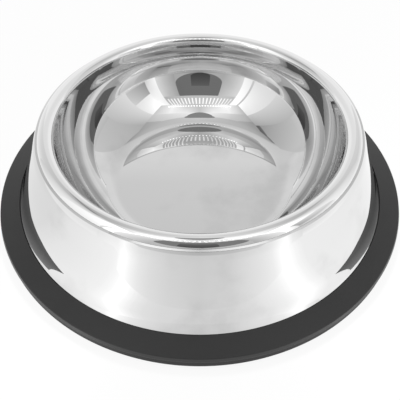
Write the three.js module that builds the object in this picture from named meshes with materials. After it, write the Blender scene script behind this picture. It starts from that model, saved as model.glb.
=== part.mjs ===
// Non-skid pet bowl: a drawn food dish, a flared skirt that carries it, and a rubber base ring.
// Millimetres, +Z up. The origin is on the bowl's axis, on the floor under the rubber ring.
import * as THREE from 'three';

// Driving dimensions: facets
const FACETS_ROUND = 60;
const BEND_CHORD_ERROR = 0.08;

// Driving dimensions: sheet and fits
const SHEET = 0.7;
const LAP_GAP = 0.3;
const RUBBER_GAP = 0.3;

// Driving dimensions: food dish
const MOUTH_RADIUS = 73.3;
const RIM_HEIGHT = 52.3;
const RIM_WIDTH = 8.05;
const RIM_LIP_DROP = 2.6;
const RIM_FACE_DEGREES = 54;
const RIM_OUTER_BEND = 5.2;
const RIM_INNER_BEND = 3.5;
const WAIST_INSET = 0.7;
const WAIST_DROP = 29.5;
const WAIST_BEND = 43.2;
const DISH_DEPTH = 44;
const FLOOR_CORNER_INSET = 24.3;
const FLOOR_BEND = 14.1;

// Driving dimensions: flared skirt
const SKIRT_SPREAD = 17.1;
const JOGGLE_BEND = 0.4;
const LEDGE_WIDTH = 0.9;
const LEDGE_DROP = 0.3;
const SHOULDER_BEND = 0.3;
const COLLAR_WIDTH = 1.4;
const COLLAR_DROP = 2.7;
const COLLAR_BEND = 30;
const ANKLE_RISE = 2.2;
const ANKLE_INSET = 1.6;
const ANKLE_BEND = 30;
const FOOT_HEIGHT = 4.6;
const FOOT_FLANGE = 2.6;
const FOOT_BEND = 1.5;

// Driving dimensions: rubber base ring, its outside given downwards from the top lip
const RUBBER_HEIGHT = 10.5;
const RING_LEDGE = 11.55;
const RING_SHOULDER_DROP = 2.0;
const RING_SHOULDER_SETBACK = 0.6;
const RING_WIDEST_DROP = 1.9;
const RING_BAND_DROP = 2.1;
const RING_BAND_DEPTH = 0.9;
const RING_BEAD_DROP = 2.1;
const RING_BEAD_SETBACK = 0.4;
const RING_TREAD_SETBACK = 1.4;
const RING_EDGE_BEND = 0.8;
const RING_LIP_BEND = 0.5;
const INNER_LIP_DROP = 2.5;
const INNER_LIP_WIDTH = 2.5;

// Radii and heights that several pieces share
const RIM_LIP_RADIUS = MOUTH_RADIUS + RIM_WIDTH;
const RIM_LIP_HEIGHT = RIM_HEIGHT - RIM_LIP_DROP;
const FLARE_RADIUS = RIM_LIP_RADIUS + SKIRT_SPREAD;
const RING_RADIUS = FLARE_RADIUS + RING_LEDGE;

// A section is a list of corners in the (radius, height) plane, each with the radius of its bend.
const corner = (radius, height, bend = 0) => ({ at: new THREE.Vector2(radius, height), bend });

const toRadians = THREE.MathUtils.degToRad;

// Unit direction from one corner to the next.
const heading = (from, to) => to.at.clone().sub(from.at).normalize();

// Left-hand normal of a direction: the show side of a sheet drawn from its inside to its outside.
const leftOf = (direction) => new THREE.Vector2(-direction.y, direction.x);

// Signed angle between two directions, positive to the left.
const turnBetween = (incoming, outgoing) => Math.atan2(incoming.cross(outgoing), incoming.dot(outgoing));

// Length of straight run that the bend of one corner takes from each side.
const bendReach = (bend, turn) => bend * Math.tan(Math.abs(turn) / 2);

// Points along a run of corners with every bend drawn as an arc. A bend that is too large for the
// straight run beside it is limited to what that run can hold.
function bentRun(corners) {
  const last = corners.length - 1;
  const turns = corners.map((here, i) => {
    const isEnd = i === 0 || i === last;
    return isEnd ? 0 : turnBetween(heading(corners[i - 1], here), heading(here, corners[i + 1]));
  });
  const reaches = corners.map(({ bend }, i) => bendReach(bend, turns[i]));
  const share = (i) => {
    const run = corners[i].at.distanceTo(corners[i + 1].at);
    return Math.min(1, run / Math.max(reaches[i] + reaches[i + 1], Number.EPSILON));
  };
  return corners.flatMap((here, i) => {
    if (reaches[i] === 0) return [here.at.clone()];
    const limit = Math.min(share(i - 1), share(i));
    return bendArc(here, heading(corners[i - 1], here), turns[i], here.bend * limit);
  });
}

// Arc points of one bend, from its start on the incoming run to its end on the outgoing run.
function bendArc(here, incoming, turn, bend) {
  const side = Math.sign(turn);
  const start = here.at.clone().addScaledVector(incoming, -bendReach(bend, turn));
  const centre = start.clone().addScaledVector(leftOf(incoming), side * bend);
  const startAngle = start.clone().sub(centre).angle();
  const clockwise = side < 0;
  const arc = new THREE.EllipseCurve(
    centre.x, centre.y, bend, bend, startAngle, startAngle + turn, clockwise);
  const facetTurn = 2 * Math.acos(Math.max(0, 1 - BEND_CHORD_ERROR / bend));
  return arc.getPoints(Math.ceil(Math.abs(turn) / facetTurn));
}

// The same run moved sideways, to the right of its direction, with its bends opened or closed.
function offsetRun(corners, distance) {
  const last = corners.length - 1;
  return corners.map((here, i) => {
    const incoming = heading(corners[Math.max(i - 1, 0)], corners[Math.max(i, 1)]);
    const outgoing = heading(corners[Math.min(i, last - 1)], corners[Math.min(i + 1, last)]);
    const turn = turnBetween(incoming, outgoing);
    const mitre = leftOf(incoming).add(leftOf(outgoing)).normalize();
    const at = here.at.clone().addScaledVector(mitre, -distance / Math.cos(turn / 2));
    const bend = here.bend > 0 ? Math.max(0, here.bend + Math.sign(turn) * distance) : 0;
    return { at, bend };
  });
}

// Closed outline of a sheet whose show face follows the corners.
function sheetOutline(corners) {
  const showFace = bentRun(corners);
  const backFace = bentRun(offsetRun(corners, SHEET));
  return [...backFace, ...showFace.reverse()];
}

// A closed outline, drawn anticlockwise, turned about the Z axis.
function revolve(name, outline, material) {
  const isOnAxis = outline[0].x === 0 && outline[outline.length - 1].x === 0;
  const profile = isOnAxis ? outline : [...outline, outline[0].clone()];
  const geometry = new THREE.LatheGeometry(profile, FACETS_ROUND);
  geometry.rotateX(Math.PI / 2);
  const mesh = new THREE.Mesh(geometry, material);
  mesh.name = name;
  return mesh;
}

// Radius on the rim's sloping outer face at a height, on the straight part above the lip.
const rimFaceRadius = (height) =>
  RIM_LIP_RADIUS - (height - RIM_LIP_HEIGHT) / Math.tan(toRadians(RIM_FACE_DEGREES));

// The rim from the mouth's inner corner over the crown to the turned-down lip.
function rimCorners() {
  return [
    corner(MOUTH_RADIUS, RIM_HEIGHT, RIM_INNER_BEND),
    corner(rimFaceRadius(RIM_HEIGHT), RIM_HEIGHT, RIM_OUTER_BEND),
    corner(RIM_LIP_RADIUS, RIM_LIP_HEIGHT),
  ];
}

// The dish's show face, from the middle of its floor up the wall and over the rim.
function dishCorners() {
  const floorHeight = RIM_HEIGHT - DISH_DEPTH;
  return [
    corner(0, floorHeight),
    corner(MOUTH_RADIUS - FLOOR_CORNER_INSET, floorHeight, FLOOR_BEND),
    corner(MOUTH_RADIUS - WAIST_INSET, RIM_HEIGHT - WAIST_DROP, WAIST_BEND),
    ...rimCorners(),
  ];
}

// The skirt's show face: a flange under the rim's crown, a joggle that brings the skirt flush with
// the lip, a ledge and a collar under the lip, the flare, and the foot flange that the rubber holds.
function skirtCorners() {
  const [, crown, lip] = offsetRun(rimCorners(), SHEET + LAP_GAP);
  const flangeEdge = corner(crown.at.x - bendReach(crown.bend, toRadians(RIM_FACE_DEGREES)), crown.at.y);
  const faceAngle = toRadians(RIM_FACE_DEGREES);
  const pastLip = new THREE.Vector2(Math.cos(faceAngle), -Math.sin(faceAngle)).multiplyScalar(LAP_GAP);
  const joggle = lip.at.clone().add(pastLip);
  const seam = new THREE.Vector2(RIM_LIP_RADIUS, RIM_LIP_HEIGHT).add(pastLip);
  const shoulder = corner(seam.x + LEDGE_WIDTH, seam.y - LEDGE_DROP, SHOULDER_BEND);
  const ankle = corner(FLARE_RADIUS - ANKLE_INSET, RUBBER_HEIGHT + ANKLE_RISE, ANKLE_BEND);
  const footRadius = FLARE_RADIUS + (RUBBER_HEIGHT - FOOT_HEIGHT) * ANKLE_INSET / ANKLE_RISE;
  return [
    flangeEdge,
    crown,
    corner(joggle.x, joggle.y, JOGGLE_BEND),
    corner(seam.x, seam.y),
    shoulder,
    corner(shoulder.at.x + COLLAR_WIDTH, shoulder.at.y - COLLAR_DROP, COLLAR_BEND),
    ankle,
    corner(footRadius, FOOT_HEIGHT, FOOT_BEND),
    corner(footRadius + FOOT_FLANGE, FOOT_HEIGHT),
  ];
}

// The slot in the rubber that holds the skirt's foot: the foot's section with a gap all round.
function slotCorners() {
  const [ankle, foot, edge] = skirtCorners().slice(-3);
  const wall = [ankle, foot, corner(edge.at.x + RUBBER_GAP, edge.at.y)];
  return {
    outside: offsetRun(wall, -RUBBER_GAP),
    inside: offsetRun(wall, SHEET + RUBBER_GAP),
  };
}

// Point where a wall of the slot reaches a height.
function wallAtHeight([upper, lower], height) {
  const part = (height - lower.at.y) / (upper.at.y - lower.at.y);
  return lower.at.clone().lerp(upper.at, part);
}

// The ring's section, anticlockwise: tread, beaded outside, sloping top, slot, hidden inner lip.
function ringOutline() {
  const { outside, inside } = slotCorners();
  const topLip = wallAtHeight(outside, RUBBER_HEIGHT);
  const innerLip = wallAtHeight(inside, RUBBER_HEIGHT - INNER_LIP_DROP);
  const innerRadius = innerLip.x - INNER_LIP_WIDTH;
  const shoulderHeight = RUBBER_HEIGHT - RING_SHOULDER_DROP;
  const widestHeight = shoulderHeight - RING_WIDEST_DROP;
  const bandHeight = widestHeight - RING_BAND_DROP;
  const beadHeight = bandHeight - RING_BEAD_DROP;
  return bentRun([
    corner(innerRadius, 0),
    corner(RING_RADIUS - RING_TREAD_SETBACK, 0, RING_EDGE_BEND),
    corner(RING_RADIUS - RING_BEAD_SETBACK, beadHeight, RING_EDGE_BEND),
    corner(RING_RADIUS - RING_BAND_DEPTH, bandHeight, RING_EDGE_BEND),
    corner(RING_RADIUS, widestHeight, RING_EDGE_BEND),
    corner(RING_RADIUS - RING_SHOULDER_SETBACK, shoulderHeight, RING_EDGE_BEND),
    corner(topLip.x, topLip.y, RING_LIP_BEND),
    { at: outside[1].at, bend: FOOT_BEND - RUBBER_GAP },
    corner(outside[2].at.x, outside[2].at.y),
    corner(inside[2].at.x, inside[2].at.y),
    { at: inside[1].at, bend: FOOT_BEND + SHEET + RUBBER_GAP },
    corner(innerLip.x, innerLip.y, RING_LIP_BEND),
    corner(innerRadius, innerLip.y),
  ]);
}

const polishedSteel = () => new THREE.MeshStandardMaterial({
  color: 0xd0d0d0,
  roughness: 0.06,
  metalness: 1,
});
const blackRubber = () => new THREE.MeshStandardMaterial({
  color: 0x303030,
  roughness: 0.55,
  metalness: 0,
});

const bowl = new THREE.Group();
bowl.name = 'non_skid_pet_bowl';
bowl.add(revolve('food_dish', sheetOutline(dishCorners()), polishedSteel()));
bowl.add(revolve('flared_skirt', sheetOutline(skirtCorners()), polishedSteel()));
bowl.add(revolve('rubber_base_ring', ringOutline(), blackRubber()));

export default bowl;
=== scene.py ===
"""Dresses the non-skid pet bowl: a mirror-polished steel dish and skirt on a moulded rubber ring.

Every piece is a section in the (radius, height) plane, in millimetres, turned about the Z axis.
Blender's objects are in metres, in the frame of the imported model.
"""

import logging
import math
from dataclasses import dataclass, field, replace
from enum import Enum
from typing import Union

import bpy
import numpy as np
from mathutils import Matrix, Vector


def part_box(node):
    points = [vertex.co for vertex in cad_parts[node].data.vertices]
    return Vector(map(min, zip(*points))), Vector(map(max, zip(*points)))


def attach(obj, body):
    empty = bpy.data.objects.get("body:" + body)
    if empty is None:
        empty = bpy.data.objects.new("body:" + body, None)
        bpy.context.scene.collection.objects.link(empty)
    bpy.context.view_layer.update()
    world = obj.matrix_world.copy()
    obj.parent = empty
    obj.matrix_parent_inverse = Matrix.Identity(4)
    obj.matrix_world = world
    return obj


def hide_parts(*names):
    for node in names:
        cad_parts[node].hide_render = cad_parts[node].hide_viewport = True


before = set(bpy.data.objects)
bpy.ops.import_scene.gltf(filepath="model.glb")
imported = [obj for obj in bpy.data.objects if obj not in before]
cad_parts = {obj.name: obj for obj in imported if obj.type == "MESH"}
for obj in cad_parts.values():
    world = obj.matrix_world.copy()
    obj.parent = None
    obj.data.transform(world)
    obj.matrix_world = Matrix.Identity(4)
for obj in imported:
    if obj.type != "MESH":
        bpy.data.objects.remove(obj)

log = logging.getLogger("pet_bowl")

MM = 0.001
BODY = "root"
# Light goes round inside the polished dish several times before it leaves.
MIRROR_BOUNCES = 12
WHITE = (1.0, 1.0, 1.0, 1.0)
FULL_TURN = 360
# Lengths and turns below this count as none.
TINY = 1e-6
# The sRGB curve is a straight toe up to a limit, and a power curve above it.
SRGB_TOE_END = 0.04045
SRGB_TOE_SLOPE = 12.92
SRGB_OFFSET = 0.055
SRGB_POWER = 2.4
BYTE_MAX = 255

SocketValue = Union[float, tuple, bpy.types.NodeSocket]


def linear(hex_colour: str) -> tuple[float, float, float, float]:
    """Turns an sRGB hex colour into linear light.

    Args:
        hex_colour: colour such as "#D0D0D0".

    Returns:
        Red, green, blue and an alpha of 1, in linear light.
    """
    light = []
    for start in (1, 3, 5):
        channel = int(hex_colour[start:start + 2], 16) / BYTE_MAX
        if channel <= SRGB_TOE_END:
            light.append(channel / SRGB_TOE_SLOPE)
        else:
            light.append(((channel + SRGB_OFFSET) / (1 + SRGB_OFFSET)) ** SRGB_POWER)
    red, green, blue = light
    return red, green, blue, 1.0


def add_node(
    tree: bpy.types.NodeTree,
    kind: str,
    inputs: dict[Union[str, int], SocketValue] | None = None,
    **settings: object,
) -> bpy.types.Node:
    """Adds one shader node with its settings and links.

    Args:
        tree: node tree that takes the node.
        kind: Blender's name for the node, without its ShaderNode prefix.
        inputs: for each input socket, a plain value or the output socket to link from.
        settings: the node's own properties.

    Returns:
        The new node.
    """
    node = tree.nodes.new("ShaderNode" + kind)
    for name, value in settings.items():
        setattr(node, name, value)
    for name, value in (inputs or {}).items():
        if isinstance(value, bpy.types.NodeSocket):
            tree.links.new(value, node.inputs[name])
        else:
            node.inputs[name].default_value = value
    return node


def new_material(name: str) -> tuple[bpy.types.Material, bpy.types.NodeTree]:
    """Makes an empty node material.

    Args:
        name: the material's name.

    Returns:
        The material and its node tree, with no nodes in it.
    """
    material = bpy.data.materials.new(name)
    material.use_nodes = True
    material.node_tree.nodes.clear()
    return material, material.node_tree


@dataclass(frozen=True)
class Corner:
    """A corner of a section: its radius and height, and the radius of its bend, in millimetres."""

    radius: float
    height: float
    bend: float = 0.0

    @property
    def at(self) -> np.ndarray:
        """The corner's place in the (radius, height) plane."""
        return np.array((self.radius, self.height))


@dataclass(frozen=True)
class Section:
    """A run of corners whose bends are drawn as arcs.

    Straight runs are drawn in steps of millimetres and bends in steps of degrees, coarser in tight bends.
    """

    corners: list[Corner]
    step: float = 4.0
    step_degrees: float = 1.5
    tight_bend: float = 1.6
    tight_step_degrees: float = 9.0

    def directions(self) -> list[np.ndarray]:
        """Unit direction of each straight run between two corners."""
        runs = [b.at - a.at for a, b in zip(self.corners, self.corners[1:])]
        return [run / np.linalg.norm(run) for run in runs]

    def turns(self) -> list[float]:
        """Measures how far the run turns at each corner.

        Returns:
            The signed turns in radians, positive to the left, and none at the two ends.
        """
        ways = self.directions()
        inner = [math.atan2(a[0] * b[1] - a[1] * b[0], a @ b) for a, b in zip(ways, ways[1:])]
        return [0.0, *inner, 0.0]

    def bends(self) -> list[float]:
        """Limits each corner's bend to what the straight runs beside it can hold.

        Returns:
            The bend radius of each corner, in millimetres.
        """
        reach = [c.bend * math.tan(abs(turn) / 2) for c, turn in zip(self.corners, self.turns())]
        runs = [np.linalg.norm(b.at - a.at) for a, b in zip(self.corners, self.corners[1:])]
        share = [min(1.0, run / max(a + b, TINY)) for run, a, b in zip(runs, reach, reach[1:])]
        limits = [min(a, b) for a, b in zip([1.0, *share], [*share, 1.0])]
        return [c.bend * limit for c, limit in zip(self.corners, limits)]

    def offset(self, distance: float) -> "Section":
        """Moves the run sideways, to the right of its direction, and opens or closes its bends.

        Args:
            distance: how far, in millimetres.

        Returns:
            The moved run.
        """
        ways = self.directions()
        moved = []
        for here, turn, came, goes in zip(self.corners, self.turns(), [ways[0], *ways], [*ways, ways[-1]]):
            mitre = np.array((came[1] + goes[1], -came[0] - goes[0]))
            at = here.at + mitre / np.linalg.norm(mitre) * distance / math.cos(turn / 2)
            bend = max(0.0, here.bend + math.copysign(distance, turn)) if here.bend else 0.0
            moved.append(Corner(at[0], at[1], bend))
        return replace(self, corners=moved)

    def arc(
        self, start: np.ndarray, way: np.ndarray, turn: float, bend: float
    ) -> list[tuple[np.ndarray, np.ndarray]]:
        """Draws one bend.

        Args:
            start: where the bend leaves the incoming run.
            way: direction of that run.
            turn: signed turn of the bend.
            bend: its radius; 0 draws the corner alone.

        Returns:
            The bend's points, each with the direction of travel there.
        """
        if bend * abs(turn) < TINY:
            return [(start, way)]
        centre = start + np.array((-way[1], way[0])) * math.copysign(bend, turn)
        step_degrees = self.step_degrees if bend > self.tight_bend else self.tight_step_degrees
        steps = max(2, math.ceil(math.degrees(abs(turn)) / step_degrees))
        stations = []
        for angle in np.linspace(0.0, turn, steps + 1):
            spin = np.array(((math.cos(angle), -math.sin(angle)), (math.sin(angle), math.cos(angle))))
            stations.append((centre + spin @ (start - centre), spin @ way))
        return stations

    def draw(self) -> tuple[np.ndarray, np.ndarray]:
        """Draws the run as points, with the normal to its right at each of them.

        Returns:
            Points and unit normals, as arrays of (radius, height).
        """
        ways = self.directions()
        stations = []
        for here, turn, bend, way in zip(self.corners, self.turns(), self.bends(), [ways[0], *ways]):
            start = here.at - way * bend * math.tan(abs(turn) / 2)
            if stations:
                last = stations[-1][0]
                between = int(np.linalg.norm(start - last) / self.step)
                stations += [
                    (last + (start - last) * k / (between + 1), way) for k in range(1, between + 1)
                ]
            stations += self.arc(start, way, turn, bend)
        points = np.array([point for point, _ in stations])
        normals = np.array([(way[1], -way[0]) for _, way in stations])
        return points, normals


def sheet_outline(show: list[Corner], sheet: float, edge_bend: float, closed: bool) -> Section:
    """Gives a sheet its thickness, with rounded cut edges.

    Args:
        show: corners of the show face, from its inside end to its outside end.
        sheet: thickness, in millimetres.
        edge_bend: radius of the cut edges.
        closed: whether the inside end is a cut edge too; otherwise it ends on the axis.

    Returns:
        The outline, anticlockwise: along the back face and back along the show face.
    """
    back = Section(show).offset(sheet).corners
    faces = [list(back), list(show)]
    for face in faces:
        face[-1] = replace(face[-1], bend=edge_bend)
        if closed:
            face[0] = replace(face[0], bend=edge_bend)
    outline = faces[0] + faces[1][::-1]
    if closed:
        middle = (back[0].at + show[0].at) / 2
        seam = Corner(middle[0], middle[1])
        outline = [seam, *outline, seam]
    return Section(outline)


def turn_section(name: str, outline: Section, segments: int) -> bpy.types.Object:
    """Turns an outline about the Z axis into a smooth mesh, with the section's own normals.

    Args:
        name: the piece's name.
        outline: section drawn anticlockwise, closed or with both ends on the axis.
        segments: number of facets round the axis.

    Returns:
        The new object. Its vertices hold "along", the length along the outline in millimetres.
    """
    points, normals = outline.draw()
    lengths = np.concatenate(([0.0], np.cumsum(np.linalg.norm(np.diff(points, axis=0), axis=1))))
    is_closed = np.allclose(points[0], points[-1])
    if is_closed:
        points, normals, lengths = points[:-1], normals[:-1], lengths[:-1]
    angles = np.arange(segments) * 2 * math.pi / segments
    places, directions, along, rows = [], [], [], []
    for (radius, height), (out, up), length in zip(points, normals, lengths):
        round_axis = angles if radius > TINY else angles[:1]
        rows.append(np.arange(len(round_axis)) + len(places))
        places += [(radius * math.cos(a) * MM, radius * math.sin(a) * MM, height * MM) for a in round_axis]
        directions += [(out * math.cos(a), out * math.sin(a), up) for a in round_axis]
        along += [length] * len(round_axis)
    faces = []
    for low, high in zip(rows, rows[1:] + rows[:1] if is_closed else rows[1:]):
        for j in range(segments):
            following = j + 1
            ring = [
                low[j % len(low)],
                low[following % len(low)],
                high[following % len(high)],
                high[j % len(high)],
            ]
            faces.append(list(dict.fromkeys(int(index) for index in ring)))
    mesh = bpy.data.meshes.new(name)
    mesh.from_pydata(places, [], faces)
    mesh.attributes.new("along", "FLOAT", "POINT").data.foreach_set("value", along)
    mesh.shade_smooth()
    mesh.normals_split_custom_set_from_vertices(directions)
    piece = bpy.data.objects.new(name, mesh)
    bpy.context.scene.collection.objects.link(piece)
    return piece


@dataclass(frozen=True)
class PolishedStainless:
    """Stainless sheet, drawn and then mirror-polished on a turning mop.

    The polish gives the eye sharp reflections of a bright grey. A band round the rim gets a brighter
    colour, a painted highlight that stands in for the rim's bright reflections. The mop leaves faint
    rings round the axis, the drawn sheet keeps a slight waviness, and wiping leaves cloudy patches
    that are duller.
    """

    name: str
    colour: str = "#D8D8D8"
    # Painted highlight: between the two heights below, the rim gets this brighter colour in place of its
    # bright reflections.
    painted_highlight_colour: str = "#EEEEEE"
    painted_highlight_from: float = 46.0
    painted_highlight_to: float = 50.5
    smear_colour: str = "#CACACA"
    roughness: float = 0.015
    smear_roughness: float = 0.06
    smear_size: float = 27.0
    smear_detail: float = 5.0
    smear_from: float = 0.48
    smear_to: float = 0.78
    wave_size: float = 30.0
    wave_depth: float = 0.006
    wave_detail: float = 1.0
    # Mop lines are some hundredths of a millimetre apart; they are drawn this coarse to show at all.
    ring_spacing: float = 1.3
    ring_depth: float = 0.00012
    ring_detail: float = 2.0

    def material(self) -> bpy.types.Material:
        """Makes the node material of this finish.

        Returns:
            The material, whose colour and roughness follow the smears, whose colour is brighter on the rim
            as a painted highlight, and whose bump holds waves and rings.
        """
        material, tree = new_material(self.name)
        place = add_node(tree, "TexCoord").outputs["Object"]
        along = add_node(tree, "Attribute", attribute_name="along").outputs["Fac"]
        cloud = add_node(
            tree,
            "TexNoise",
            {"Vector": place, "Scale": 1 / (self.smear_size * MM), "Detail": self.smear_detail},
        ).outputs["Fac"]
        smear = add_node(
            tree,
            "MapRange",
            {"Value": cloud, "From Min": self.smear_from, "From Max": self.smear_to},
            interpolation_type="SMOOTHSTEP",
        ).outputs["Result"]
        roughness = add_node(
            tree, "MapRange", {"Value": smear, "To Min": self.roughness, "To Max": self.smear_roughness}
        ).outputs["Result"]
        colour = add_node(
            tree,
            "Mix",
            {"Factor": smear, "A": linear(self.colour), "B": linear(self.smear_colour)},
            data_type="RGBA",
        )
        height = add_node(tree, "SeparateXYZ", {"Vector": place}).outputs["Z"]
        # Painted highlight: a band of height round the rim takes the brighter colour, standing in for its
        # bright reflections.
        painted_highlight_band = add_node(
            tree,
            "MapRange",
            {"Value": height, "From Min": self.painted_highlight_from * MM, "From Max": self.painted_highlight_to * MM},
        ).outputs["Result"]
        colour = add_node(
            tree,
            "Mix",
            {"Factor": painted_highlight_band, "A": colour.outputs["Result"], "B": linear(self.painted_highlight_colour)},
            data_type="RGBA",
        )
        wave = add_node(
            tree,
            "TexNoise",
            {"Vector": place, "Scale": 1 / (self.wave_size * MM), "Detail": self.wave_detail},
        ).outputs["Fac"]
        wavy = add_node(tree, "Bump", {"Height": wave, "Distance": self.wave_depth * MM})
        rings = add_node(
            tree,
            "TexNoise",
            {"W": along, "Scale": 1 / self.ring_spacing, "Detail": self.ring_detail},
            noise_dimensions="1D",
        ).outputs["Fac"]
        ringed = add_node(
            tree,
            "Bump",
            {"Height": rings, "Distance": self.ring_depth * MM, "Normal": wavy.outputs["Normal"]},
        )
        shader = add_node(
            tree,
            "BsdfPrincipled",
            {
                "Base Color": colour.outputs["Result"],
                "Metallic": 1.0,
                "Roughness": roughness,
                "Normal": ringed.outputs["Normal"],
            },
        )
        add_node(tree, "OutputMaterial", {"Surface": shader.outputs["BSDF"]})
        return material


@dataclass(frozen=True)
class MouldedRubber:
    """Black rubber, compression-moulded in a fine spark-eroded mould.

    The mould's texture gives the eye a satin, even black with soft highlights, and a grey bloom and
    dust lighten it in patches.
    """

    name: str
    colour: str = "#1A1A1A"
    bloom_colour: str = "#282828"
    roughness: float = 0.36
    bloom_roughness: float = 0.48
    ior: float = 1.52
    bloom_size: float = 16.0
    bloom_detail: float = 6.0
    # The mould's texture is about 0.2 mm; it is drawn this coarse to show at all.
    grain_size: float = 0.9
    grain_depth: float = 0.02
    grain_detail: float = 2.0

    def material(self) -> bpy.types.Material:
        """Makes the node material of this finish.

        Returns:
            The material, whose colour and roughness follow the bloom and whose bump holds the grain.
        """
        material, tree = new_material(self.name)
        place = add_node(tree, "TexCoord").outputs["Object"]
        bloom = add_node(
            tree,
            "TexNoise",
            {"Vector": place, "Scale": 1 / (self.bloom_size * MM), "Detail": self.bloom_detail},
        ).outputs["Fac"]
        colour = add_node(
            tree,
            "Mix",
            {"Factor": bloom, "A": linear(self.colour), "B": linear(self.bloom_colour)},
            data_type="RGBA",
        )
        roughness = add_node(
            tree, "MapRange", {"Value": bloom, "To Min": self.roughness, "To Max": self.bloom_roughness}
        ).outputs["Result"]
        grain = add_node(
            tree,
            "TexNoise",
            {"Vector": place, "Scale": 1 / (self.grain_size * MM), "Detail": self.grain_detail},
        ).outputs["Fac"]
        textured = add_node(tree, "Bump", {"Height": grain, "Distance": self.grain_depth * MM})
        shader = add_node(
            tree,
            "BsdfPrincipled",
            {
                "Base Color": colour.outputs["Result"],
                "Roughness": roughness,
                "IOR": self.ior,
                "Normal": textured.outputs["Normal"],
            },
        )
        add_node(tree, "OutputMaterial", {"Surface": shader.outputs["BSDF"]})
        return material


class Slot(Enum):
    """Material slots of the record."""

    DISH = "dish_steel"
    SKIRT = "skirt_steel"
    RING = "ring_rubber"


def place_piece(
    piece: bpy.types.Object, node: str, material: bpy.types.Material
) -> bpy.types.Object:
    """Dresses a piece and sets it in the frame in place of a node.

    Args:
        piece: the new mesh object.
        node: the node that it stands for.
        material: the piece's finish.

    Returns:
        The same piece.
    """
    piece.data.materials.append(material)
    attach(piece, BODY)
    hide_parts(node)
    log.info("%s: %d faces, %s", piece.name, len(piece.data.polygons), material.name)
    return piece


@dataclass(frozen=True)
class FoodDish:
    """The drawn dish: flat floor, wide floor corner, steep wall and rolled rim, in millimetres."""

    finish: PolishedStainless
    node: str = "food_dish"
    segments: int = 264
    sheet: float = 0.7
    edge_bend: float = 0.08
    lip_radius: float = field(default_factory=lambda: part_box("food_dish")[1].x / MM)
    rim_height: float = field(default_factory=lambda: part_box("food_dish")[1].z / MM)
    rim_width: float = 8.05
    lip_drop: float = 2.6
    face_degrees: float = 54.0
    outer_bend: float = 5.2
    inner_bend: float = 3.5
    waist_inset: float = 0.7
    waist_drop: float = 29.5
    waist_bend: float = 43.2
    depth: float = 44.0
    floor_corner_inset: float = 24.3
    floor_bend: float = 14.1

    @property
    def mouth_radius(self) -> float:
        """Radius of the wall where it meets the rim."""
        return self.lip_radius - self.rim_width

    @property
    def lip_height(self) -> float:
        """Height of the turned-down lip."""
        return self.rim_height - self.lip_drop

    def rim(self) -> list[Corner]:
        """Lays out the rolled rim.

        Returns:
            Its corners, from the mouth over the crown to the lip.
        """
        crown = self.lip_radius - self.lip_drop / math.tan(math.radians(self.face_degrees))
        return [
            Corner(self.mouth_radius, self.rim_height, self.inner_bend),
            Corner(crown, self.rim_height, self.outer_bend),
            Corner(self.lip_radius, self.lip_height),
        ]

    def show_face(self) -> list[Corner]:
        """Lays out the polished inside and the rim.

        Returns:
            The corners from the middle of the floor up the wall and over the rim.
        """
        floor = self.rim_height - self.depth
        return [
            Corner(0.0, floor),
            Corner(self.mouth_radius - self.floor_corner_inset, floor, self.floor_bend),
            Corner(self.mouth_radius - self.waist_inset, self.rim_height - self.waist_drop, self.waist_bend),
            *self.rim(),
        ]

    def build(self) -> bpy.types.Object:
        """Makes the dish and sets it in the frame.

        Returns:
            The dish.
        """
        outline = sheet_outline(self.show_face(), self.sheet, self.edge_bend, closed=False)
        piece = turn_section("polished_food_dish", outline, self.segments)
        return place_piece(piece, self.node, self.finish.material())


@dataclass(frozen=True)
class FlaredSkirt:
    """The skirt: a flange under the rim, a joggle flush with the lip, the flare and the foot flange.

    Sizes are in millimetres. The flare is a row of runs, each with the height where it ends, its slope
    from the vertical in degrees, and the bend that leads to the next.
    """

    dish: FoodDish
    finish: PolishedStainless
    node: str = "flared_skirt"
    segments: int = 320
    lap_gap: float = 0.08
    seam_gap: float = 0.04
    joggle_bend: float = 0.3
    seam_bend: float = 0.1
    ledge_width: float = 1.05
    ledge_degrees: float = 19.0
    shoulder_bend: float = 0.25
    flare: tuple[tuple[float, float, float], ...] = (
        (46.6, 27.0, 30.0),
        (38.5, 19.7, 200.0),
        (22.0, 22.0, 100.0),
        (14.4, 20.4, 32.0),
        (10.5, 30.5, 12.0),
    )
    foot_degrees: float = 47.0
    foot_height: float = 6.0
    foot_flange: float = 2.6
    foot_bend: float = 1.5

    def show_face(self) -> list[Corner]:
        """Lays out the outside of the skirt, with its two flanges.

        Returns:
            The corners from the flange's edge under the crown down to the foot flange's edge.
        """
        lap = Section(self.dish.rim()).offset(self.dish.sheet + self.lap_gap)
        _, crown, lip = lap.corners
        reach = crown.bend * math.tan(math.radians(self.dish.face_degrees) / 2)
        face = math.radians(self.dish.face_degrees)
        down_face = np.array((math.cos(face), -math.sin(face)))
        joggle = lip.at + down_face * self.seam_gap
        seam = np.array((self.dish.lip_radius, self.dish.lip_height)) + down_face * self.seam_gap
        radius = seam[0] + self.ledge_width
        height = seam[1] - self.ledge_width * math.tan(math.radians(self.ledge_degrees))
        corners = [
            Corner(crown.radius - reach, crown.height),
            crown,
            Corner(joggle[0], joggle[1], self.joggle_bend),
            Corner(seam[0], seam[1], self.seam_bend),
            Corner(radius, height, self.shoulder_bend),
        ]
        for run_end, slope, bend in (*self.flare, (self.foot_height, self.foot_degrees, self.foot_bend)):
            radius += (height - run_end) * math.tan(math.radians(slope))
            height = run_end
            corners.append(Corner(radius, height, bend))
        return [*corners, Corner(radius + self.foot_flange, height)]

    def build(self) -> bpy.types.Object:
        """Makes the skirt and sets it in the frame.

        Returns:
            The skirt.
        """
        outline = sheet_outline(self.show_face(), self.dish.sheet, self.dish.edge_bend, closed=True)
        piece = turn_section("polished_flared_skirt", outline, self.segments)
        return place_piece(piece, self.node, self.finish.material())


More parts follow.
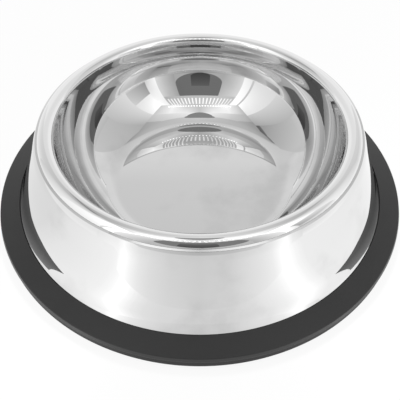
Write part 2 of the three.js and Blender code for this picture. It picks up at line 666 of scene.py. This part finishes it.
@dataclass(frozen=True)
class RubberRing:
    """The base ring: a beaded outside, a sloping top and a slot that grips the skirt's foot.

    Sizes are in millimetres. Drops are measured one below the other, from the top of the ring down.
    """

    skirt: FlaredSkirt
    finish: MouldedRubber
    node: str = "rubber_base_ring"
    segments: int = 320
    gap: float = 0.13
    height: float = 10.7
    radius: float = 110.0
    shoulder_drop: float = 2.2
    shoulder_setback: float = 0.6
    widest_drop: float = 1.9
    band_drop: float = 2.1
    band_depth: float = 1.4
    bead_drop: float = 2.1
    bead_setback: float = 0.4
    tread_setback: float = 1.4
    edge_bend: float = 0.5
    top_bend: float = 0.2
    lip_bend: float = 0.15
    slot_bend: float = 0.2
    inner_lip_drop: float = 2.7
    inner_lip_width: float = 2.5

    def at_height(self, upper: Corner, lower: Corner, height: float) -> np.ndarray:
        """Point of a slot wall at a height.

        Args:
            upper: the wall's upper corner.
            lower: its lower corner.
            height: the height, in millimetres.

        Returns:
            The point, as (radius, height).
        """
        part = (height - lower.height) / (upper.height - lower.height)
        return lower.at + (upper.at - lower.at) * part

    def outline(self) -> Section:
        """Lays out the ring's section round the skirt's foot.

        Returns:
            The closed section, anticlockwise from the middle of the tread.
        """
        kick, foot, edge = self.skirt.show_face()[-3:]
        wall = Section([kick, foot, replace(edge, radius=edge.radius + self.gap)])
        outside = wall.offset(-self.gap).corners
        inside = wall.offset(self.skirt.dish.sheet + self.gap).corners
        top = self.at_height(outside[0], outside[1], self.height)
        inner = self.at_height(inside[0], inside[1], self.height - self.inner_lip_drop)
        inner_radius = inner[0] - self.inner_lip_width
        shoulder = self.height - self.shoulder_drop
        widest = shoulder - self.widest_drop
        band = widest - self.band_drop
        bead = band - self.bead_drop
        tread = self.radius - self.tread_setback
        middle = Corner((inner_radius + tread) / 2, 0.0)
        return Section([
            middle,
            Corner(tread, 0.0, self.edge_bend),
            Corner(self.radius - self.bead_setback, bead, self.edge_bend),
            Corner(self.radius - self.band_depth, band, self.edge_bend),
            Corner(self.radius, widest, self.edge_bend),
            Corner(self.radius - self.shoulder_setback, shoulder, self.edge_bend),
            Corner(top[0], top[1], self.top_bend),
            outside[1],
            replace(outside[2], bend=self.slot_bend),
            replace(inside[2], bend=self.slot_bend),
            inside[1],
            Corner(inner[0], inner[1], self.lip_bend),
            Corner(inner_radius, inner[1], self.lip_bend),
            Corner(inner_radius, 0.0, self.lip_bend),
            middle,
        ])

    def build(self) -> bpy.types.Object:
        """Makes the ring and sets it in the frame.

        Returns:
            The ring.
        """
        piece = turn_section("moulded_rubber_ring", self.outline(), self.segments)
        return place_piece(piece, self.node, self.finish.material())


class Wall(Enum):
    """Walls of the soft-box, each by the directions in which its sheets are measured."""

    FRONT = ((0, 1, 0), (1, 0, 0), (0, 0, 1))
    BACK = ((0, -1, 0), (1, 0, 0), (0, 0, 1))
    LEFT = ((1, 0, 0), (0, 1, 0), (0, 0, 1))
    RIGHT = ((-1, 0, 0), (0, 1, 0), (0, 0, 1))
    CEILING = ((0, 0, -1), (1, 0, 0), (0, 1, 0))
    FLOOR = ((0, 0, 1), (1, 0, 0), (0, 1, 0))

    @property
    def inward(self) -> Vector:
        """Direction from the wall into the box."""
        return Vector(self.value[0])

    def at(self, across: float, up: float) -> Vector:
        """Place on the wall, as if it went through the origin, in millimetres."""
        return Vector(self.value[1]) * across + Vector(self.value[2]) * up


@dataclass(frozen=True)
class LampRow:
    """A row of small lamps, in millimetres: how many, their spacing, place, half size and light level."""

    count: int
    pitch: float
    height: float
    half: tuple[float, float]
    level: float


@dataclass(frozen=True)
class Sheet:
    """A glowing sheet of the soft-box: its spots as (across, up, level), and the faces between them."""

    name: str
    wall: Wall
    spots: list[tuple[float, float, float]]
    faces: list[tuple[int, ...]]
    stand_off: float = 0.0

    @classmethod
    def panel(
        cls,
        name: str,
        wall: Wall,
        across: tuple[float, float],
        up: tuple[float, float],
        levels: tuple[float, float, float, float],
        cells: int = 6,
    ) -> "Sheet":
        """Makes a rectangle whose light level runs smoothly between its corners.

        Args:
            name: the sheet's name.
            wall: the wall that it is on.
            across: its two sides, in millimetres.
            up: its lower and upper edge.
            levels: light levels at its low left, low right, high left and high right corner.
            cells: number of facets along each side.

        Returns:
            The sheet.
        """
        low_left, low_right, high_left, high_right = levels
        spots = []
        for j in range(cells + 1):
            for i in range(cells + 1):
                s, t = i / cells, j / cells
                low = low_left + (low_right - low_left) * s
                high = high_left + (high_right - high_left) * s
                spots.append((
                    across[0] + (across[1] - across[0]) * s,
                    up[0] + (up[1] - up[0]) * t,
                    low + (high - low) * t,
                ))
        row = cells + 1
        faces = [
            (j * row + i, j * row + i + 1, (j + 1) * row + i + 1, (j + 1) * row + i)
            for j in range(cells) for i in range(cells)
        ]
        return cls(name, wall, spots, faces)

    @classmethod
    def arched(
        cls,
        name: str,
        wall: Wall,
        across: tuple[float, float],
        up: tuple[float, float],
        arch: float,
        levels: tuple[float, float],
        stand_off: float,
        steps: int = 24,
    ) -> "Sheet":
        """Makes a sheet with a straight upper edge and a round lower edge.

        Args:
            name: the sheet's name.
            wall: the wall that it is on.
            across: its two sides, in millimetres.
            up: its lowest point and its upper edge.
            arch: height of the round part.
            levels: light levels at its lowest point and at its upper edge.
            stand_off: how far it stands in from the wall.
            steps: number of facets along the round edge.

        Returns:
            The sheet.
        """
        middle = (across[0] + across[1]) / 2
        half = (across[1] - across[0]) / 2
        places = [(across[1], up[1]), (across[0], up[1])]
        for k in range(steps + 1):
            angle = math.pi * (1 + k / steps)
            places.append((middle + half * math.cos(angle), up[0] + arch * (1 + math.sin(angle))))
        slope = (levels[1] - levels[0]) / (up[1] - up[0])
        spots = [(x, z, levels[0] + slope * (z - up[0])) for x, z in places]
        return cls(name, wall, spots, [tuple(range(len(spots)))], stand_off)

    @classmethod
    def disc(
        cls,
        name: str,
        wall: Wall,
        middle: tuple[float, float],
        half: tuple[float, float],
        level: float,
        stand_off: float,
        steps: int = 48,
    ) -> "Sheet":
        """Makes an oval sheet of one level.

        Args:
            name: the sheet's name.
            wall: the wall that it is on.
            middle: its middle, in millimetres.
            half: its half width and half height.
            level: its light level.
            stand_off: how far it stands in from the wall.
            steps: number of facets along its edge.

        Returns:
            The sheet.
        """
        angles = [2 * math.pi * k / steps for k in range(steps)]
        spots = [
            (middle[0] + half[0] * math.cos(a), middle[1] + half[1] * math.sin(a), level) for a in angles
        ]
        return cls(name, wall, spots, [tuple(range(steps))], stand_off)

    @classmethod
    def ring(
        cls,
        name: str,
        wall: Wall,
        radii: tuple[float, float],
        stops: list[tuple[float, float]],
        stand_off: float,
        facet_degrees: int = 2,
    ) -> "Sheet":
        """Makes a ring about the bowl's axis whose level changes with the direction.

        Args:
            name: the sheet's name.
            wall: the wall that it is on.
            radii: its inner and outer radius, in millimetres.
            stops: directions in degrees, in rising order over a whole turn, each with its level.
            stand_off: how far it stands in from the wall.
            facet_degrees: length of a facet along the ring.

        Returns:
            The sheet.
        """
        degrees = np.arange(0, FULL_TURN, facet_degrees)
        levels = np.interp(degrees, *zip(*stops), period=FULL_TURN)
        spots = [
            (radius * math.cos(math.radians(turn)), radius * math.sin(math.radians(turn)), level)
            for radius in radii for turn, level in zip(degrees, levels)
        ]
        count = len(degrees)
        faces = [(k, (k + 1) % count, (k + 1) % count + count, k + count) for k in range(count)]
        return cls(name, wall, spots, faces, stand_off)

    @classmethod
    def lamp_row(cls, name: str, wall: Wall, row: LampRow, stand_off: float) -> "Sheet":
        """Makes a row of small lamps, even about the middle.

        Args:
            name: the sheet's name.
            wall: the wall that it is on.
            row: the lamps.
            stand_off: how far they stand in from the wall.

        Returns:
            The row as one sheet.
        """
        corners = ((-1, -1), (1, -1), (1, 1), (-1, 1))
        width, height = row.half
        spots = []
        faces = []
        for k in range(row.count):
            middle = (k - (row.count - 1) / 2) * row.pitch
            first = len(spots)
            spots += [(middle + width * i, row.height + height * j, row.level) for i, j in corners]
            faces.append(tuple(range(first, len(spots))))
        return cls(name, wall, spots, faces, stand_off)

    def build(self, wall_distance: float, dimmer: float, material: bpy.types.Material) -> bpy.types.Object:
        """Makes the sheet, which lights the bowl and shows in it, but not to the camera.

        Args:
            wall_distance: how far the wall is from the origin, in millimetres.
            dimmer: share of the sheet's level that is switched on.
            material: the glow that all sheets share.

        Returns:
            The new object.
        """
        back = self.wall.inward * (self.stand_off - wall_distance)
        mesh = bpy.data.meshes.new(self.name)
        mesh.from_pydata([(self.wall.at(x, z) + back) * MM for x, z, _ in self.spots], [], self.faces)
        levels = [level * dimmer for _, _, level in self.spots]
        mesh.attributes.new("level", "FLOAT", "POINT").data.foreach_set("value", levels)
        mesh.materials.append(material)
        sheet = bpy.data.objects.new(self.name, mesh)
        bpy.context.scene.collection.objects.link(sheet)
        sheet.visible_camera = False
        return sheet


@dataclass(frozen=True)
class SoftBox:
    """A pale floor in a cloth box of 40 cm, lit by rows of lamps, with a dark opening in front.

    Sizes are in millimetres. A level of 1 is white, and each panel has one for each of its corners.
    """

    half_width: float = 208.0
    front: float = -164.0
    back: float = 185.0
    ceiling: float = 400.0
    # Front wall
    wing: float = 150.0
    opening: tuple[float, float] = (-70.0, 76.0)
    opening_low: float = 78.0
    opening_high: float = 257.0
    opening_arch: float = 62.0
    opening_levels: tuple[float, float] = (0.24, 0.24)
    core: tuple[float, float] = (-30.0, 26.0)
    core_high: float = 165.0
    core_arch: float = 20.0
    core_levels: tuple[float, float] = (0.08, 0.17)
    sill: float = 45.0
    sill_share: float = 0.93
    seam: float = 13.0
    front_lamps: LampRow = LampRow(19, 15.0, 343.0, (2.8, 54.0), 1.6)
    # Side walls, with the folds that part them from front to back
    left_folds: tuple[float, float] = (-50.0, 40.0)
    right_folds: tuple[float, float] = (-60.0, 40.0)
    hem: float = 60.0
    back_hem: float = 120.0
    right_front_bands: tuple[float, float] = (90.0, 200.0)
    # Back wall
    back_bands: tuple[float, float, float] = (170.0, 205.0, 330.0)
    # Ceiling
    ceiling_folds: tuple[float, float] = (-60.0, 10.0)
    ceiling_strips: tuple[float, float] = (50.0, 125.0)
    ceiling_opening: tuple[float, float] = (0.0, -4.0)
    ceiling_opening_half: tuple[float, float] = (46.0, 58.0)
    ceiling_opening_level: float = 0.36
    ceiling_lamps: LampRow = LampRow(25, 12.4, -140.0, (2.6, 2.6), 5.0)
    # Floor
    glow_radii: tuple[float, float] = (113.0, 280.0)
    floor_colour: str = "#F4F4F4"
    floor_white: float = 0.9
    floor_size: float = 4000.0
    # All sheets
    stand_off: float = 0.6
    dimmer: float = 0.92

    def front_sheets(self) -> list[Sheet]:
        """Lays out the front wall: bright corners, grey wings beside the opening, and the lamps over it.

        Returns:
            Its sheets.
        """
        side, wing, top = self.half_width, self.wing, self.ceiling
        seam, sill = side - self.seam, self.sill
        left, right = self.opening
        low, high = self.opening_low, self.opening_high
        arch, core_up = self.opening_arch, (low, self.core_high)
        wall, off = Wall.FRONT, self.stand_off
        return [
            *self.front_foot(),
            Sheet.panel("front_seam_left", wall, (-side, -seam), (sill, top), (0.9, 0.9, 0.85, 0.85)),
            Sheet.panel("front_corner_left", wall, (-seam, -wing), (sill, top), (1.2, 1.4, 1.8, 1.9)),
            Sheet.panel("front_corner_right", wall, (wing, side), (sill, top), (1.5, 0.8, 1.45, 1.9)),
            Sheet.panel("front_sill_left", wall, (-wing, 0), (sill, low), (1.15, 0.75, 0.85, 0.35)),
            Sheet.panel("front_sill_right", wall, (0, wing), (sill, low), (0.75, 1.15, 0.35, 0.8)),
            Sheet.panel("front_wing_left", wall, (-wing, left), (low, high), (1.05, 0.6, 1.12, 0.78)),
            Sheet.panel("front_wing_right", wall, (right, wing), (low, high), (0.55, 1.1, 0.6, 1.05)),
            Sheet.panel("front_arch", wall, (left, right), (low, high), (0.62, 0.62, 0.62, 0.62)),
            Sheet.arched("front_opening", wall, self.opening, (low, high), arch, self.opening_levels, off),
            Sheet.arched(
                "front_opening_core", wall, self.core, core_up, self.core_arch, self.core_levels, 2 * off
            ),
            Sheet.panel("front_head", wall, (-wing, wing), (high, top), (0.88, 0.75, 0.95, 0.85)),
            Sheet.lamp_row("front_lamps", wall, self.front_lamps, off),
        ]

    def front_foot(self) -> list[Sheet]:
        """Lays out the low part of the front wall, a row of panels that is brightest near the two corners.

        Returns:
            The panels, from left to right.
        """
        side = self.half_width
        stops = [
            (-side, 1.28), (-128, 1.48), (-112, 1.72), (-97, 1.5), (-80, 1.29), (-62, 1.16), (-36, 1.05),
            (0, 0.98), (36, 1.05), (62, 1.16), (84, 1.25), (104, 1.36), (126, 1.62), (143, 1.72),
            (164, 1.38), (side, 1.2),
        ]
        panels = []
        for k, ((start, first), (end, last)) in enumerate(zip(stops, stops[1:])):
            levels = (first, last, first * self.sill_share, last * self.sill_share)
            panels.append(Sheet.panel(f"front_foot_{k}", Wall.FRONT, (start, end), (0, self.sill), levels))
        return panels

    def side_sheets(self) -> list[Sheet]:
        """Lays out the side walls: bright near the front, grey behind, dark along the left top seam.

        Returns:
            The sheets of both walls.
        """
        top, hem, back_hem = self.ceiling, self.hem, self.back_hem
        strip = top - 3 * self.seam
        low_band, high_band = self.right_front_bands
        wall = Wall.LEFT
        start, end = self.left_folds
        front, middle, back = (self.front, start), (start, end), (end, self.back)
        left = [
            Sheet.panel("left_front_low", wall, front, (0, hem), (1.35, 1.27, 1.15, 1.1)),
            Sheet.panel("left_front", wall, front, (hem, top), (1.15, 1.1, 1.75, 1.3)),
            Sheet.panel("left_middle_low", wall, middle, (0, hem), (1.27, 1.05, 1.1, 0.8)),
            Sheet.panel("left_middle", wall, middle, (hem, top), (1.06, 0.78, 0.92, 0.58)),
            Sheet.panel("left_back_low", wall, back, (0, back_hem), (1.05, 1.05, 0.78, 0.92)),
            Sheet.panel("left_back", wall, back, (back_hem, strip), (0.76, 0.92, 0.48, 0.66)),
            Sheet.panel("left_seam", wall, back, (strip, top), (0.25, 0.25, 0.17, 0.17)),
        ]
        wall = Wall.RIGHT
        start, end = self.right_folds
        front, middle, back = (self.front, start), (start, end), (end, self.back)
        right = [
            Sheet.panel("right_front_low", wall, front, (0, low_band), (1.4, 1.4, 0.65, 0.95)),
            Sheet.panel("right_front_middle", wall, front, (low_band, high_band), (0.45, 0.85, 0.6, 1.0)),
            Sheet.panel("right_front_high", wall, front, (high_band, top), (1.35, 1.2, 2.0, 1.4)),
            Sheet.panel("right_middle_low", wall, middle, (0, hem), (1.38, 1.1, 1.15, 0.9)),
            Sheet.panel("right_middle", wall, middle, (hem, top), (1.12, 0.85, 1.1, 0.62)),
            Sheet.panel("right_back_low", wall, back, (0, back_hem), (1.1, 1.05, 0.72, 0.8)),
            Sheet.panel("right_back", wall, back, (back_hem, top), (0.77, 0.87, 0.65, 0.74)),
        ]
        return left + right

    def back_sheets(self) -> list[Sheet]:
        """Lays out the back wall: white, and grey in its two upper corners.

        Returns:
            Its sheets.
        """
        side, top = self.half_width, self.ceiling
        low, middle, high = self.back_bands
        wall = Wall.BACK
        return [
            Sheet.panel("back_low", wall, (-side, side), (0, low), (1.03, 1.03, 1.03, 1.03)),
            Sheet.panel("back_middle", wall, (-side, side), (low, middle), (1.03, 1.03, 0.9, 0.96)),
            Sheet.panel("back_high", wall, (-side, side), (middle, high), (0.9, 0.96, 0.86, 0.86)),
            Sheet.panel("back_top_left", wall, (-side, 0), (high, top), (0.86, 0.86, 0.45, 0.82)),
            Sheet.panel("back_top_right", wall, (0, side), (high, top), (0.86, 0.86, 0.82, 0.45)),
        ]

    def ceiling_sheets(self) -> list[Sheet]:
        """Lays out the ceiling: bright in front, greyer to the back corners, with an opening and lamps.

        Returns:
            Its sheets.
        """
        side = self.half_width
        inner, outer = self.ceiling_strips
        start, end = self.ceiling_folds
        front, middle, back = (self.front, start), (start, end), (end, self.back)
        opening, half, level = self.ceiling_opening, self.ceiling_opening_half, self.ceiling_opening_level
        wall, off = Wall.CEILING, self.stand_off
        return [
            Sheet.panel("ceiling_front_far_left", wall, (-side, -outer), front, (0.9, 1.75, 0.75, 1.35)),
            Sheet.panel("ceiling_front_left", wall, (-outer, -inner), front, (1.7, 0.95, 1.4, 1.4)),
            Sheet.panel("ceiling_front_mid_left", wall, (-inner, 0), front, (0.95, 0.85, 1.4, 0.9)),
            Sheet.panel("ceiling_front_mid_right", wall, (0, inner), front, (0.85, 0.85, 0.9, 1.35)),
            Sheet.panel("ceiling_front_right", wall, (inner, outer), front, (0.85, 1.5, 1.35, 1.4)),
            Sheet.panel("ceiling_front_far_right", wall, (outer, side), front, (1.5, 1.0, 1.35, 0.9)),
            Sheet.panel("ceiling_middle_left", wall, (-side, 0), middle, (0.75, 1.5, 0.62, 1.15)),
            Sheet.panel("ceiling_middle_right", wall, (0, side), middle, (1.45, 0.92, 1.15, 0.75)),
            Sheet.panel("ceiling_back_left", wall, (-side, 0), back, (0.5, 0.95, 0.45, 0.8)),
            Sheet.panel("ceiling_back_right", wall, (0, side), back, (0.95, 0.58, 0.85, 0.47)),
            Sheet.disc("ceiling_opening", wall, opening, half, level, off),
            Sheet.lamp_row("ceiling_lamps", wall, self.ceiling_lamps, off),
        ]

    def floor_sheets(self) -> list[Sheet]:
        """Lays out the lit floor round the bowl, brightest towards the two front corners.

        Returns:
            Its one ring.
        """
        stops = [
            (30, 1.15), (60, 1.0), (140, 1.0), (180, 1.03), (196, 1.07), (206, 1.22), (222, 1.33),
            (230, 1.39), (234, 1.5), (238, 1.74), (242, 1.52), (246, 1.3), (250, 1.17), (256, 1.09),
            (270, 1.03), (284, 1.09), (290, 1.17), (296, 1.28), (301, 1.38), (305, 1.55), (309, 1.75),
            (313, 1.5), (318, 1.34), (334, 1.31), (359, 1.23),
        ]
        return [Sheet.ring("floor_glow", Wall.FLOOR, self.glow_radii, stops, self.stand_off)]

    def glow(self) -> bpy.types.Material:
        """Makes the white glow of the cloth, as strong as each sheet's level.

        Returns:
            The material that all sheets share.
        """
        material, tree = new_material("soft_box_cloth")
        level = add_node(tree, "Attribute", attribute_name="level").outputs["Fac"]
        glow = add_node(tree, "Emission", {"Color": WHITE, "Strength": level})
        add_node(tree, "OutputMaterial", {"Surface": glow.outputs["Emission"]})
        return material

    def build_floor(self) -> bpy.types.Object:
        """Makes the pale floor, white to the eye and in the metal, with the bowl's soft shadow.

        Returns:
            The floor.
        """
        half = self.floor_size / 2 * MM
        corners = [(-half, -half, 0), (half, -half, 0), (half, half, 0), (-half, half, 0)]
        mesh = bpy.data.meshes.new("pale_floor")
        mesh.from_pydata(corners, [], [(0, 1, 2, 3)])
        material, tree = new_material("matt_white_card")
        card = add_node(tree, "BsdfDiffuse", {"Color": linear(self.floor_colour)})
        white = add_node(tree, "Emission", {"Color": WHITE, "Strength": 1.0})
        path = add_node(tree, "LightPath").outputs
        seen = path["Is Camera Ray"]
        for ray in ("Is Glossy Ray", "Is Transmission Ray"):
            seen = add_node(tree, "Math", {0: seen, 1: path[ray]}, operation="MAXIMUM").outputs[0]
        share = add_node(tree, "Math", {0: seen, 1: self.floor_white}, operation="MULTIPLY").outputs[0]
        mixed = add_node(tree, "MixShader", {0: share, 1: card.outputs["BSDF"], 2: white.outputs["Emission"]})
        add_node(tree, "OutputMaterial", {"Surface": mixed.outputs["Shader"]})
        mesh.materials.append(material)
        floor = bpy.data.objects.new("pale_floor", mesh)
        bpy.context.scene.collection.objects.link(floor)
        return floor

    def build_world(self) -> None:
        """Makes the plain white surround that the camera sees past the floor."""
        world = bpy.data.worlds.new("white_surround")
        world.use_nodes = True
        world.node_tree.nodes.clear()
        glow = add_node(world.node_tree, "Background", {"Color": WHITE, "Strength": 1.0})
        add_node(world.node_tree, "OutputWorld", {"Surface": glow.outputs["Background"]})
        bpy.context.scene.world = world

    def build(self) -> None:
        """Makes the floor, the box and the surround."""
        self.build_world()
        self.build_floor()
        distances = {
            Wall.FRONT: -self.front,
            Wall.BACK: self.back,
            Wall.LEFT: self.half_width,
            Wall.RIGHT: self.half_width,
            Wall.CEILING: self.ceiling,
            Wall.FLOOR: 0.0,
        }
        material = self.glow()
        sheets = self.front_sheets() + self.side_sheets() + self.back_sheets()
        for sheet in sheets + self.ceiling_sheets() + self.floor_sheets():
            sheet.build(distances[sheet.wall], self.dimmer, material)


@dataclass(frozen=True)
class PhotoCamera:
    """The photograph's pinhole: where it stands, how it looks down, and its lens, in millimetres."""

    distance: float = 212.06
    height: float = 225.45
    pitch_degrees: float = 48.09
    lens: float = 48.21
    sensor: float = 36.0
    shift_x: float = 0.0008

    def build(self) -> bpy.types.Object:
        """Makes the camera and hands it to the scene.

        Returns:
            The camera.
        """
        data = bpy.data.cameras.new("photo_camera")
        data.lens = self.lens
        data.sensor_width = self.sensor
        data.shift_x = self.shift_x
        data.clip_start = MM
        camera = bpy.data.objects.new("photo_camera", data)
        camera.location = Vector((0.0, -self.distance, self.height)) * MM
        camera.rotation_euler = (math.pi / 2 - math.radians(self.pitch_degrees), 0.0, 0.0)
        bpy.context.scene.collection.objects.link(camera)
        bpy.context.scene.camera = camera
        return camera


def main() -> None:
    """Builds the camera, the soft-box and the bowl's pieces in order."""
    logging.basicConfig(level=logging.INFO, format="%(name)s: %(message)s")
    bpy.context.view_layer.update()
    bpy.context.scene.view_settings.view_transform = "Standard"
    bpy.context.scene.cycles.glossy_bounces = MIRROR_BOUNCES
    PhotoCamera().build()
    SoftBox().build()
    dish = FoodDish(PolishedStainless("stainless_mirror_polished_dish"))
    # The skirt keeps one grey all the way up; only the dish's rim gets the brighter painted highlight colour.
    skirt_steel = PolishedStainless("stainless_mirror_polished_skirt", painted_highlight_colour="#D8D8D8")
    skirt = FlaredSkirt(dish, skirt_steel)
    ring = RubberRing(skirt, MouldedRubber("rubber_moulded_black"))
    for part in (dish, skirt, ring):
        part.build()


if __name__ == "__main__":
    main()
